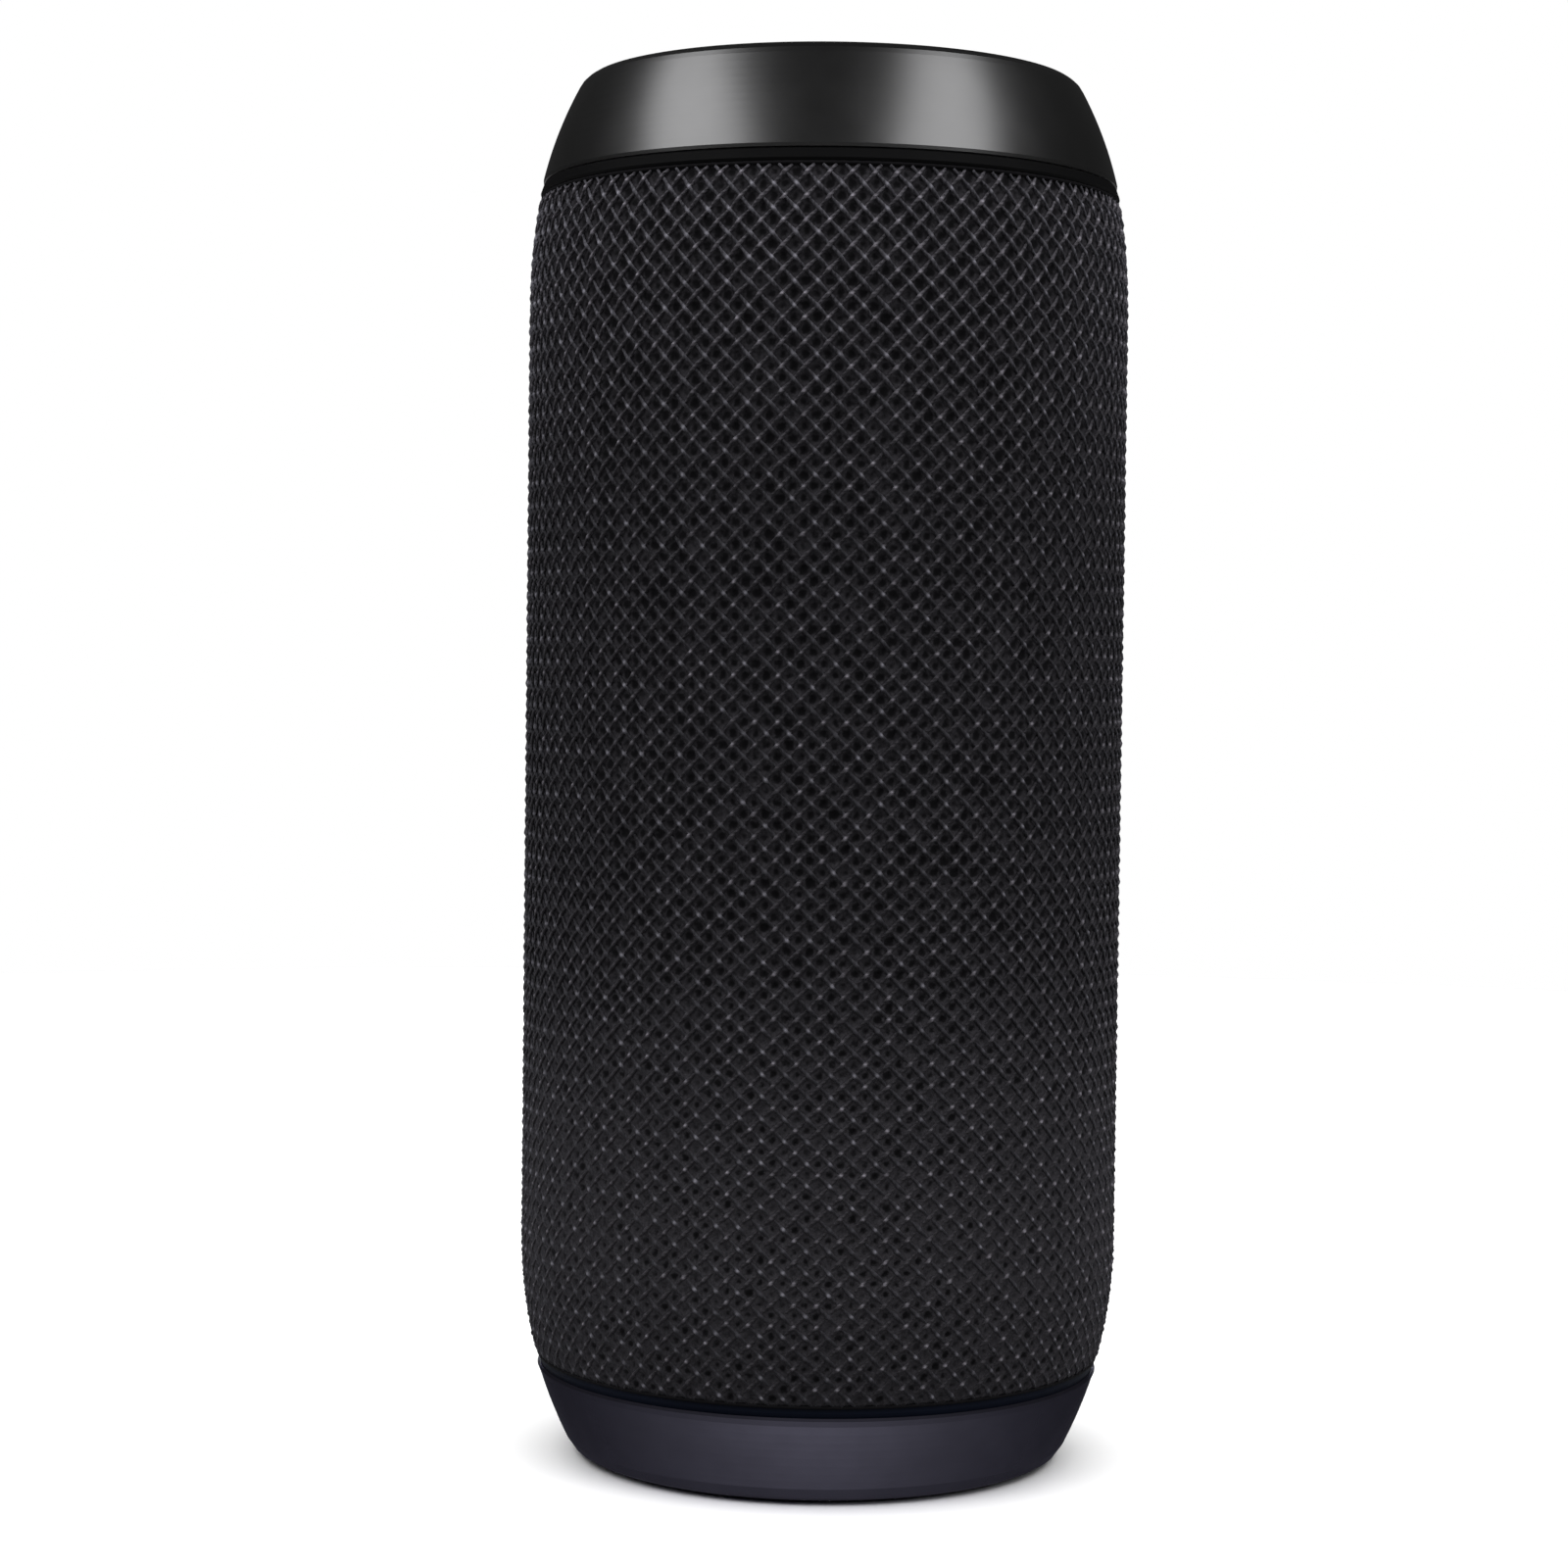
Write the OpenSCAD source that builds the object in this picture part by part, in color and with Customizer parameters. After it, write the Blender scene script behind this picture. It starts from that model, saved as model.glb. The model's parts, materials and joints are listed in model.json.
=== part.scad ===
// Portable cylindrical speaker: woven sleeve over a slotted tube, glossy top ring, satin base ring,
// two back-to-back drivers, one passive radiator, cell, boards, five buttons and a rear port cover.
// Millimetres. +Z up, front faces -Y, origin at the centre of the face it stands on.

/* [Body] */
// Largest radius, over the woven sleeve
body_r = 37; // [36.6:0.1:38]
// Overall height, foot to top rim
body_h = 169; // [165:1:173]
// How far the radius shrinks from the barrel to the top rim
top_drop = 6.6; // [6:0.1:6.8]
// Height below the top rim at which the barrel starts to shrink
top_taper = 31; // [28:1:36]
// Steepness of the upper shoulder
top_pow = 2.7; // [2.4:0.1:3]
// How far the radius shrinks from the barrel to the floor
base_drop = 7; // [6:0.1:7.2]
// Height at which the lower shoulder ends
base_taper = 28; // [24:1:30]
// Steepness of the lower shoulder
base_pow = 2.2; // [2.2:0.1:2.6]

/* [Rings and bands] */
// Top of the satin base ring
base_ring_z = 11.2; // [10.6:0.1:11.4]
// Height of the rubber band between base ring and sleeve
base_band_h = 1.1; // [0.8:0.1:1.3]
// Height of the glossy top ring
top_ring_h = 12.8; // [12.2:0.1:13]
// Height of the matte band below the top ring
top_band_h = 1.5; // [1:0.1:1.8]
// Thickness of the woven sleeve
sleeve_t = 0.85; // [0.6:0.05:0.85]

/* [Grille tube] */
// Sound slots round the tube
slot_count = 24; // [18:1:26]
// Width of one sound slot
slot_w = 4.4; // [3:0.1:5]
// Rows of sound slots
slot_rows = 4; // [3:1:4]

/* [Buttons] */
// Radius of the play button
play_r = 6.5; // [6:0.1:6.8]
// Radius of the four outer buttons
button_r = 5.2; // [4.6:0.1:5.4]
// Distance of the outer buttons from the centre
button_ring_r = 15.5; // [15.2:0.1:16]
// Gap round each button
button_gap = 0.25; // [0.2:0.05:0.35]

/* [Drivers] */
// Height of both drivers below the top rim
driver_down = 52; // [51:0.5:53]
// Height of the passive radiator
radiator_z = 60; // [59:0.5:61]
// Radius of the driver and radiator flanges
flange_r = 23; // [22.8:0.1:23]

/* [Port] */
// Width of the port bezel
bezel_w = 30; // [29:0.5:31]
// Height of the port bezel
bezel_h = 13.2; // [13:0.1:13.6]
// Radius of the audio socket bore, for a 3.5 mm plug
jack_r = 1.8; // [1.78:0.01:1.85]

/* [Hidden] */
$fn = 96;

top_z = body_h;
ring_z0 = top_z - top_ring_h;
sleeve_z1 = ring_z0 - top_band_h;
sleeve_z0 = base_ring_z + base_band_h;
foot_h = 0.8;
rim_h = 0.35;
chassis_r = 31.6;
chassis_in = 29.4;
chassis_z0 = 15;
chassis_z1 = top_z - 22;
driver_z = top_z - driver_down;
seat_h = 21.5;
board_z = 26;
board_t = 1.6;
jack_x = 8;
jack_z = board_z + board_t + 3;
usb_x = -7;
usb_z = board_z + board_t + 1.63;
bezel_z = 32.1;
hinge_y = body_r + 0.25;
hinge_z = 27.2;
base_screw_xy = [12, 19.5];
top_screw_xy = [17, 22.3];
cable_xy = [19.8, 9.5];
case_screw_z = [36, 88, top_z - 28.5];
cell_y = 3;
outer_buttons = [[0, "up"], [90, "mode"], [180, "down"], [270, "power"]];

// Outer radius of the barrel at height z
function prof(z) = body_r
    - (z > top_z - top_taper ? top_drop * pow((z - top_z + top_taper) / top_taper, top_pow) : 0)
    - (z < base_taper ? base_drop * pow((base_taper - z) / base_taper, base_pow) : 0);

// Heights that follow the curved shoulders closely and the straight barrel coarsely
function heights(a, b) = concat([a],
    [for (z = [0.5:1.5:base_taper + 3]) if (z > a + 0.6 && z < b - 0.6) z],
    [for (z = [top_z - top_taper - 2:1.5:top_z]) if (z > a + 0.6 && z < b - 0.6) z], [b]);

// A wall that follows the barrel, between two depths below its outside
module barrel_wall(a, b, out, in) {
    hs = heights(a, b);
    n = len(hs) - 1;
    rotate_extrude() polygon(concat(
        [for (z = hs) [prof(z) - out, z]],
        [for (i = [n:-1:0]) [prof(hs[i]) - in, hs[i]]]));
}

module rounded_rect(w, h, r) {
    square([w, h - 2 * r], center = true);
    square([w - 2 * r, h], center = true);
    for (x = [-1, 1], y = [-1, 1]) translate([x * (w / 2 - r), y * (h / 2 - r)]) circle(r = r, $fn = 32);
}

// A rounded rectangle in the XZ plane, extruded from y0 to y1
module port_block(w, h, r, y0, y1, zc, xc = 0) {
    translate([xc, y1, zc]) rotate([90, 0, 0]) linear_extrude(y1 - y0) rounded_rect(w, h, r);
}

module face_front(z) translate([0, 0, z]) rotate([90, 0, 0]) children();
module face_rear(z) translate([0, 0, z]) rotate([-90, 0, 0]) children();
module ring_of_four(r, a0 = 45) for (a = [a0:90:a0 + 270]) rotate([0, 0, a]) translate([r, 0, 0]) children();

// ---------- base ----------
module foot_pad() color([0.05, 0.05, 0.055]) rotate_extrude() polygon([
    [9, 0], [17.2, 0], [17.2, 0.35], [18, 0.35], [18, 0], [21.2, 0], [21.2, 0.35], [22, 0.35], [22, 0],
    [26, 0], [26.4, 0.35], [26.4, 2.15], [0, 2.15], [0, 0.5], [8.6, 0.5]]);

module base_ring() color([0.16, 0.155, 0.19]) difference() {
    union() {
        rotate_extrude() polygon(concat(
            [[26.6, foot_h + 1.4], [26.6, rim_h + 0.3], [26.9, rim_h], [prof(rim_h) - 1.6, rim_h],
             [prof(rim_h) - 0.8, rim_h + 0.15], [prof(rim_h + 0.5) - 0.25, rim_h + 0.55]],
            [for (z = [2.2:1:base_ring_z - 0.8]) [prof(z), z]],
            [[prof(base_ring_z), base_ring_z - 0.3], [prof(base_ring_z) - 0.3, base_ring_z],
             [31.7, base_ring_z], [31.7, chassis_z0], [29.8, chassis_z0],
             [29.8, 9], [28.4, 5.4], [27, foot_h + 3.4], [0, foot_h + 3.4], [0, foot_h + 1.4]]));
        for (x = [-1, 1], y = [-1, 1]) translate([x * base_screw_xy[0], y * base_screw_xy[1], foot_h + 2])
            cylinder(r = 3.6, h = chassis_z0 - foot_h - 2);
    }
    for (x = [-1, 1], y = [-1, 1]) translate([x * base_screw_xy[0], y * base_screw_xy[1], 0]) {
        cylinder(r = 1.4, h = 20);
        cylinder(r = 2.8, h = 4.1);
    }
}

module base_seam_band() color([0.03, 0.035, 0.06]) rotate_extrude() polygon([
    [31.75, base_ring_z], [prof(base_ring_z) - 0.45, base_ring_z],
    [prof(base_ring_z) - 0.2, base_ring_z + base_band_h / 2],
    [prof(sleeve_z0) - 0.45, sleeve_z0], [31.75, sleeve_z0]]);

// ---------- outer tube and sleeve ----------
module woven_sleeve() color([0.12, 0.12, 0.13]) difference() {
    hs = heights(sleeve_z0, sleeve_z1);
    n = len(hs) - 1;
    rotate_extrude() polygon(concat(
        [for (i = [0:n]) [prof(hs[i]) - (i == 0 || i == n ? 0.3 : 0), hs[i]]],
        [for (i = [n:-1:0]) [prof(hs[i]) - sleeve_t, hs[i]]]));
    port_block(bezel_w + 0.1, bezel_h + 0.1, 4, 25, 45, bezel_z);
}

module grille_tube() color([0.08, 0.08, 0.085]) difference() {
    barrel_wall(sleeve_z0, sleeve_z1, sleeve_t + 0.05, 2.7);
    port_block(bezel_w + 0.6, bezel_h + 0.6, 4, 25, 45, bezel_z);
    pitch = (sleeve_z1 - sleeve_z0 - 18) / slot_rows;
    for (row = [0:slot_rows - 1], k = [0:slot_count - 1]) {
        a = (k + 0.5) * 360 / slot_count;
        if (row > 0 || abs(a - 90) > 42)
            rotate([0, 0, a]) translate([30, -slot_w / 2, sleeve_z0 + 9 + pitch * row + 2.5])
                cube([10, slot_w, pitch - 5]);
    }
}

// ---------- chassis ----------
module seat_cup() difference() {
    translate([0, 0, 19.3]) cylinder(r = 25.6, h = 14);
    translate([0, 0, seat_h]) cylinder(r = flange_r + 0.4, h = 20);
}
module seat_cut() translate([0, 0, 19.3]) cylinder(r = 24.6, h = 20);
module seat_holes() {
    translate([0, 0, 10]) cylinder(r = 19.8, h = 20);
    ring_of_four(21.5) translate([0, 0, 18]) cylinder(r = 0.85, h = 6, $fn = 24);
}

module chassis_shell() difference() {
    translate([0, 0, chassis_z0]) cylinder(r = chassis_r, h = chassis_z1 - chassis_z0);
    translate([0, 0, chassis_z0 + 2.5]) cylinder(r = chassis_in, h = chassis_z1 - chassis_z0 - 5);
}

module chassis_pillars(s) {
    for (x = [-1, 1]) {
        translate([x * 20, s * 10, chassis_z0 + 2]) cylinder(r = 2.6, h = board_z - chassis_z0 - 2);
        translate([x * base_screw_xy[0], s * base_screw_xy[1], chassis_z0 + 2]) cylinder(r = 3.2, h = 5);
        translate([x * top_screw_xy[0], s * top_screw_xy[1], chassis_z1 - 7]) cylinder(r = 2.6, h = 5);
    }
}

module chassis_pillar_holes(s) for (x = [-1, 1]) {
    translate([x * 20, s * 10, 19]) cylinder(r = 0.95, h = 10, $fn = 24);
    translate([x * base_screw_xy[0], s * base_screw_xy[1], chassis_z0 - 1]) cylinder(r = 1.2, h = 7, $fn = 24);
    translate([x * top_screw_xy[0], s * top_screw_xy[1], chassis_z1 - 6.4]) cylinder(r = 0.95, h = 9, $fn = 24);
}

module half_space(s) translate([-50, s > 0 ? -60.3 + 0.6 : -0.3, 0]) cube([100, 60, 200]);

module chassis_front() color([0.1, 0.1, 0.105]) difference() {
    union() {
        difference() {
            chassis_shell();
            half_space(-1);
            face_front(driver_z) seat_cut();
            face_front(radiator_z) seat_cut();
        }
        intersection() {
            translate([0, 0, chassis_z0]) cylinder(r = chassis_r, h = chassis_z1 - chassis_z0);
            union() {
                face_front(driver_z) seat_cup();
                face_front(radiator_z) seat_cup();
            }
        }
        chassis_pillars(-1);
        for (x = [-1, 1], z = case_screw_z) intersection() {
            translate([x * 25.8, -0.3, z]) rotate([90, 0, 0]) cylinder(r = 3.4, h = 11.7);
            translate([0, 0, chassis_z0]) cylinder(r = chassis_r - 0.4, h = chassis_z1 - chassis_z0);
        }
    }
    face_front(driver_z) seat_holes();
    face_front(radiator_z) seat_holes();
    chassis_pillar_holes(-1);
    for (x = [-1, 1], z = case_screw_z) translate([x * 25.8, 1, z]) rotate([90, 0, 0]) cylinder(r = 1.2, h = 9.5, $fn = 24);
}

module chassis_rear() color([0.1, 0.1, 0.105]) difference() {
    union() {
        difference() {
            chassis_shell();
            half_space(1);
            face_rear(driver_z) seat_cut();
        }
        intersection() {
            translate([0, 0, chassis_z0]) cylinder(r = chassis_r, h = chassis_z1 - chassis_z0);
            face_rear(driver_z) seat_cup();
        }
        chassis_pillars(1);
        for (x = [-1, 1], z = case_screw_z) intersection() {
            translate([x * 25.8, 30, z]) rotate([90, 0, 0]) cylinder(r = 3.4, h = 29.7);
            translate([0, 0, chassis_z0]) cylinder(r = chassis_r - 0.4, h = chassis_z1 - chassis_z0);
        }
    }
    face_rear(driver_z) seat_holes();
    chassis_pillar_holes(1);
    for (x = [-1, 1], z = case_screw_z) {
        translate([x * 25.8, 35, z]) rotate([90, 0, 0]) cylinder(r = 1.35, h = 40, $fn = 24);
        translate([x * 25.8, 35, z]) rotate([90, 0, 0]) cylinder(r = 2.8, h = 26, $fn = 32);
    }
    translate([jack_x, 20, jack_z]) rotate([-90, 0, 0]) cylinder(r = 3, h = 20);
    port_block(9.4, 3.8, 1.2, 20, 40, usb_z, usb_x);
    translate([cable_xy[0], cable_xy[1], chassis_z1 - 4]) cylinder(r = 1.6, h = 6, $fn = 32);
}

module chassis_gasket() color([0.04, 0.04, 0.04]) translate([0, 0.3, 0]) rotate([90, 0, 0]) linear_extrude(0.6)
    difference() {
        translate([-chassis_r, chassis_z0]) square([2 * chassis_r, chassis_z1 - chassis_z0]);
        translate([-chassis_in, chassis_z0 + 2.5]) square([2 * chassis_in, chassis_z1 - chassis_z0 - 5]);
    }

// ---------- fasteners ----------
// Pan-head screw, head above the seat at z = 0, shank below
module screw(head_r, head_h, shank_r, length) difference() {
    rotate_extrude($fn = 48) polygon([[0, -length], [shank_r * 0.4, -length], [shank_r, -length + 1.4], [shank_r, 0],
        [head_r, 0], [head_r, head_h * 0.55], [head_r * 0.7, head_h], [0, head_h]]);
    for (a = [0, 90]) rotate([0, 0, a]) translate([-head_r * 0.55, -head_r * 0.11, head_h - 0.7])
        cube([head_r * 1.1, head_r * 0.22, 2]);
}
module long_screw() screw(2.6, 1.8, 1.15, 16);
module short_screw() screw(2, 1.4, 0.9, 6);

module long_case_screws() color([0.55, 0.55, 0.57]) {
    for (x = [-1, 1], y = [-1, 1]) translate([x * base_screw_xy[0], y * base_screw_xy[1], 4.1]) rotate([180, 0, 0]) long_screw();
    for (x = [-1, 1], z = case_screw_z) translate([x * 25.8, 9, z]) rotate([-90, 0, 0]) long_screw();
}

module short_screws() color([0.55, 0.55, 0.57]) {
    for (x = [-1, 1], y = [-1, 1]) {
        translate([x * 20, y * 10, board_z + board_t]) short_screw();
        translate([x * top_screw_xy[0], y * top_screw_xy[1], chassis_z1 + 2]) short_screw();
    }
    ring_of_four(22) translate([0, 0, top_z - 10.6]) rotate([180, 0, 0]) short_screw();
}

module driver_screws() color([0.45, 0.45, 0.47]) {
    face_front(driver_z) ring_of_four(21.5) translate([0, 0, 23.1]) screw(1.35, 0.9, 0.8, 5);
    face_rear(driver_z) ring_of_four(21.5) translate([0, 0, 23.1]) screw(1.35, 0.9, 0.8, 5);
    face_front(radiator_z) ring_of_four(21.5) translate([0, 0, 23.1]) screw(1.35, 0.9, 0.8, 5);
}

// ---------- top ----------
module top_ring() color([0.06, 0.06, 0.062]) difference() {
    rotate_extrude($fn = 160) polygon(concat(
        [[prof(ring_z0) - 0.35, ring_z0], [prof(ring_z0 + 0.3) - 0.08, ring_z0 + 0.1]],
        [for (z = [ring_z0 + 0.5:1:top_z - 1.2]) [prof(z), z]],
        [[prof(top_z - 0.7) - 0.05, top_z - 0.7], [prof(top_z) - 0.15, top_z - 0.25], [prof(top_z) - 0.55, top_z],
         [29, top_z], [28.7, top_z - 0.3], [28.5, top_z - 3.6], [26.4, top_z - 3.6], [26.4, top_z - 5.6],
         [30.6, top_z - 5.6], [32.2, top_z - 8], [32.4, top_z - 10.6], [31.2, top_z - 11.4],
         [31.2, chassis_z1 + 2], [25.5, chassis_z1 + 2], [25.5, chassis_z1], [32.8, chassis_z1], [32.8, ring_z0]]));
    for (x = [-1, 1], y = [-1, 1]) translate([x * top_screw_xy[0], y * top_screw_xy[1], chassis_z1 - 1])
        cylinder(r = 1.05, h = 6, $fn = 24);
}

module top_seam_band() color([0.02, 0.02, 0.022]) rotate_extrude() polygon([
    [32.85, sleeve_z1], [prof(sleeve_z1) - 0.3, sleeve_z1], [prof(sleeve_z1) - 0.12, sleeve_z1 + 0.3],
    [prof(ring_z0) - 0.12, ring_z0 - 0.3], [prof(ring_z0) - 0.3, ring_z0], [32.85, ring_z0]]);

module at_button(i) {
    if (i < 0) children();
    else rotate([0, 0, outer_buttons[i][0]]) translate([button_ring_r, 0, 0]) children();
}

module control_panel() color([0.07, 0.07, 0.075]) difference() {
    union() {
        rotate_extrude() polygon([[0, top_z - 3.6], [28.3, top_z - 3.6], [28.3, top_z - 2.1], [28, top_z - 1.8], [0, top_z - 1.8]]);
        ring_of_four(22) translate([0, 0, top_z - 9]) cylinder(r = 2.4, h = 6);
    }
    ring_of_four(22) translate([0, 0, top_z - 9.5]) cylinder(r = 0.95, h = 5.6, $fn = 24);
    translate([0, 0, top_z - 5]) cylinder(r = play_r + button_gap, h = 5);
    for (i = [0:3]) at_button(i) translate([0, 0, top_z - 5]) cylinder(r = button_r + button_gap, h = 5);
    translate([8.5, -8.5, top_z - 5]) cylinder(r = 1.25, h = 5, $fn = 32);
    translate([8.5, 8.5, top_z - 5]) cylinder(r = 0.6, h = 5, $fn = 24);
}

module control_board() color([0.05, 0.22, 0.12]) difference() {
    translate([0, 0, top_z - 10.6]) cylinder(r = 25.3, h = 1.6);
    ring_of_four(22) translate([0, 0, top_z - 12]) cylinder(r = 1.05, h = 4, $fn = 24);
}

module tact_switches() color([0.2, 0.2, 0.21]) for (i = [-1:3]) at_button(i) difference() {
    translate([-3, -3, top_z - 9]) cube([6, 6, 3.4]);
    translate([0, 0, top_z - 7.1]) cylinder(r = 1.9, h = 3, $fn = 32);
}

module indicator_lens() color([0.8, 0.85, 0.95]) translate([8.5, -8.5, 0]) rotate_extrude($fn = 48) polygon([
    [0, top_z - 8], [1.1, top_z - 8], [1.1, top_z - 4.6], [1.8, top_z - 4.6], [1.8, top_z - 3.65], [1.2, top_z - 3.65],
    [1.2, top_z - 1.7], [0.8, top_z - 1.55], [0, top_z - 1.5]]);

module microphone_capsule() color([0.6, 0.6, 0.6]) translate([8.5, 8.5, top_z - 9]) cylinder(r = 2.2, h = 2.2, $fn = 48);

// Cap, retaining collar and stem of one button
module button(r) rotate_extrude($fn = 64) polygon([
    [0, top_z - 0.85], [r * 0.55, top_z - 0.92], [r * 0.86, top_z - 1.12], [r * 0.96, top_z - 1.32], [r, top_z - 1.65],
    [r, top_z - 3.7], [r + 1, top_z - 3.7], [r + 1, top_z - 4.6], [1.6, top_z - 4.6], [1.6, top_z - 6.4], [0, top_z - 6.4]]);

module play_button() color([0.1, 0.1, 0.105]) button(play_r);
module volume_up_button() color([0.1, 0.1, 0.105]) at_button(0) button(button_r);
module mode_button() color([0.1, 0.1, 0.105]) at_button(1) button(button_r);
module volume_down_button() color([0.1, 0.1, 0.105]) at_button(2) button(button_r);
module power_button() color([0.1, 0.1, 0.105]) at_button(3) button(button_r);

// ---------- drivers, drawn with their axis on z and their front upwards ----------
module basket() difference() {
    rotate_extrude() polygon([[flange_r, seat_h], [flange_r, 23.1], [20, 23.1], [20, 22.1], [18.6, 22.1], [18.6, 21.3],
        [14.6, 13.9], [13.2, 13.9], [13.2, 12.6], [7.8, 12.6], [7.8, 11.8], [15, 11.8], [15.4, 13.4], [19.5, seat_h]]);
    ring_of_four(21.5) translate([0, 0, 20]) cylinder(r = 0.95, h = 5, $fn = 24);
    for (a = [0:90:270]) rotate([0, 0, a]) translate([12, -6, 15.2]) cube([12, 12, 5]);
}
module top_plate() translate([0, 0, 10]) difference() {
    cylinder(r = 12.5, h = 1.8);
    translate([0, 0, -1]) cylinder(r = 7.2, h = 4);
}
module ring_magnet() translate([0, 0, 4.2]) difference() {
    cylinder(r = 13.5, h = 5.8);
    translate([0, 0, -1]) cylinder(r = 8.2, h = 8);
}
module yoke() difference() {
    rotate_extrude() polygon([[0, 2], [12.3, 2], [12.8, 2.5], [12.8, 4.2], [6, 4.2], [6, 11.6], [0, 11.6]]);
    translate([0, 0, 1]) cylinder(r = 1.5, h = 12, $fn = 32);
}
module spider() rotate_extrude() polygon(concat(
    [for (i = [0:8]) [6.6 + i * 0.8, 14.25 + (i % 2) * 0.5 + (i == 8 ? 0.05 : 0)]], [[14.5, 14.3], [14.5, 13.92], [13.1, 13.92]],
    [for (i = [7:-1:0]) [6.6 + i * 0.8, 13.9 + (i % 2) * 0.5]]));
module surround() rotate_extrude() polygon(concat(
    [[14.8, 22.12], [14.8, 22.6]], [for (a = [180:-18:0]) [17.15 + 1.65 * cos(a), 22.6 + 1.65 * sin(a)]],
    [[19.95, 22.6], [19.95, 22.12]], [for (a = [0:18:180]) [17.15 + 1.2 * cos(a), 22.12 + 1.6 * sin(a)]]));
module cone() rotate_extrude() polygon([[6.6, 16.35], [6.6, 16.95], [14.5, 22.1], [15.6, 22.1], [15.6, 21.6], [14.7, 21.6]]);
module voice_coil() rotate_extrude() polygon([[6.3, 7.6], [6.55, 7.6], [6.55, 9.4], [6.95, 9.4], [6.95, 11.85], [6.55, 11.85],
    [6.55, 17.3], [6.3, 17.3]]);
module dust_cap() rotate_extrude() polygon(concat([[7.4, 17.52], [8.1, 17.98], [8.1, 18.4]],
    [for (a = [15:15:90]) [8 * cos(a), 18.3 + 2.3 * sin(a)]], [for (a = [90:-15:15]) [7.6 * cos(a), 17.95 + 2.25 * sin(a)]]));

module front_driver_basket() color([0.12, 0.12, 0.12]) face_front(driver_z) basket();
module front_driver_top_plate() color([0.6, 0.6, 0.62]) face_front(driver_z) top_plate();
module front_driver_magnet() color([0.15, 0.15, 0.16]) face_front(driver_z) ring_magnet();
module front_driver_yoke() color([0.6, 0.6, 0.62]) face_front(driver_z) yoke();
module front_driver_spider() color([0.75, 0.55, 0.2]) face_front(driver_z) spider();
module front_driver_surround() color([0.04, 0.04, 0.04]) face_front(driver_z) surround();
module front_cone() color([0.1, 0.1, 0.1]) face_front(driver_z) cone();
module front_voice_coil() color([0.7, 0.4, 0.2]) face_front(driver_z) voice_coil();
module front_dust_cap() color([0.08, 0.08, 0.08]) face_front(driver_z) dust_cap();
module rear_driver_basket() color([0.12, 0.12, 0.12]) face_rear(driver_z) basket();
module rear_driver_top_plate() color([0.6, 0.6, 0.62]) face_rear(driver_z) top_plate();
module rear_driver_magnet() color([0.15, 0.15, 0.16]) face_rear(driver_z) ring_magnet();
module rear_driver_yoke() color([0.6, 0.6, 0.62]) face_rear(driver_z) yoke();
module rear_driver_spider() color([0.75, 0.55, 0.2]) face_rear(driver_z) spider();
module rear_driver_surround() color([0.04, 0.04, 0.04]) face_rear(driver_z) surround();
module rear_cone() color([0.1, 0.1, 0.1]) face_rear(driver_z) cone();
module rear_voice_coil() color([0.7, 0.4, 0.2]) face_rear(driver_z) voice_coil();
module rear_dust_cap() color([0.08, 0.08, 0.08]) face_rear(driver_z) dust_cap();

// ---------- passive radiator ----------
module radiator_frame() color([0.1, 0.1, 0.1]) face_front(radiator_z) difference() {
    rotate_extrude() polygon([[flange_r, seat_h], [flange_r, 23.1], [20, 23.1], [20, 22.1], [18.6, 22.1], [18.6, 19.6], [19.5, 19.6], [19.5, seat_h]]);
    ring_of_four(21.5) translate([0, 0, 20]) cylinder(r = 0.95, h = 5, $fn = 24);
}
module radiator_surround() color([0.04, 0.04, 0.04]) face_front(radiator_z) surround();
module radiator_piston() color([0.06, 0.06, 0.06]) face_front(radiator_z) rotate_extrude() polygon([
    [0, 20.9], [13.5, 20.9], [14.2, 21.6], [15.6, 21.6], [15.6, 22.1], [13.2, 22.1], [12.6, 21.8], [0, 21.8]]);
module radiator_weight() color([0.6, 0.6, 0.62]) face_front(radiator_z) translate([0, 0, 17.9]) cylinder(r = 9, h = 3);

// ---------- power and boards ----------
module battery_cell() color([0.1, 0.3, 0.6]) translate([0, cell_y, 33]) rotate_extrude() polygon([
    [0, 0], [8.8, 0], [9.2, 0.4], [9.2, 64.2], [8.8, 64.6], [3, 64.6], [3, 65], [0, 65]]);

module battery_cradle() color([0.12, 0.12, 0.12]) for (z = [45, 78]) difference() {
    union() {
        translate([0, cell_y, z]) cylinder(r = 11.4, h = 6);
        translate([-4, cell_y + 8, z]) cube([8, 26 - cell_y - 8 + 3, 6]);
    }
    translate([0, cell_y, z - 1]) cylinder(r = 9.3, h = 8);
    translate([-5, cell_y - 14, z - 1]) cube([10, 8, 8]);
}

module main_board() color([0.05, 0.22, 0.12]) difference() {
    translate([0, 0, board_z]) cylinder(r = 28.2, h = board_t);
    for (x = [-1, 1], y = [-1, 1]) translate([x * 20, y * 10, board_z - 1]) cylinder(r = 1.05, h = 4, $fn = 24);
}

module board_components() color([0.12, 0.12, 0.13]) {
    t = board_z + board_t;
    translate([-14, -16, t]) cube([9, 9, 1.2]);
    translate([2, -18, t]) cube([7, 7, 1.2]);
    translate([-4, 8, t]) cube([12, 8, 1.4]);
    for (x = [-4, 3]) translate([x, -2, t]) cylinder(r = 2.5, h = 5, $fn = 48);
    translate([-17, -6, t]) cube([5, 5, 3]);
    translate([10, -8, t]) cube([5, 5, 3]);
    translate([16.2, 1, t]) cube([5, 5, 4]);
    translate([16, -6, t]) cube([5, 5, 4]);
    translate([-13.6, 1, t]) cube([4.2, 6, 4]);
    translate([-19, 1, t]) cube([5, 5, 4]);
    translate([17.8, 5.5, top_z - 13]) cube([4, 6.5, 2.4]);
    translate([7.5, -9.5, top_z - 9]) cube([2, 2, 0.9]);
}

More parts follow.
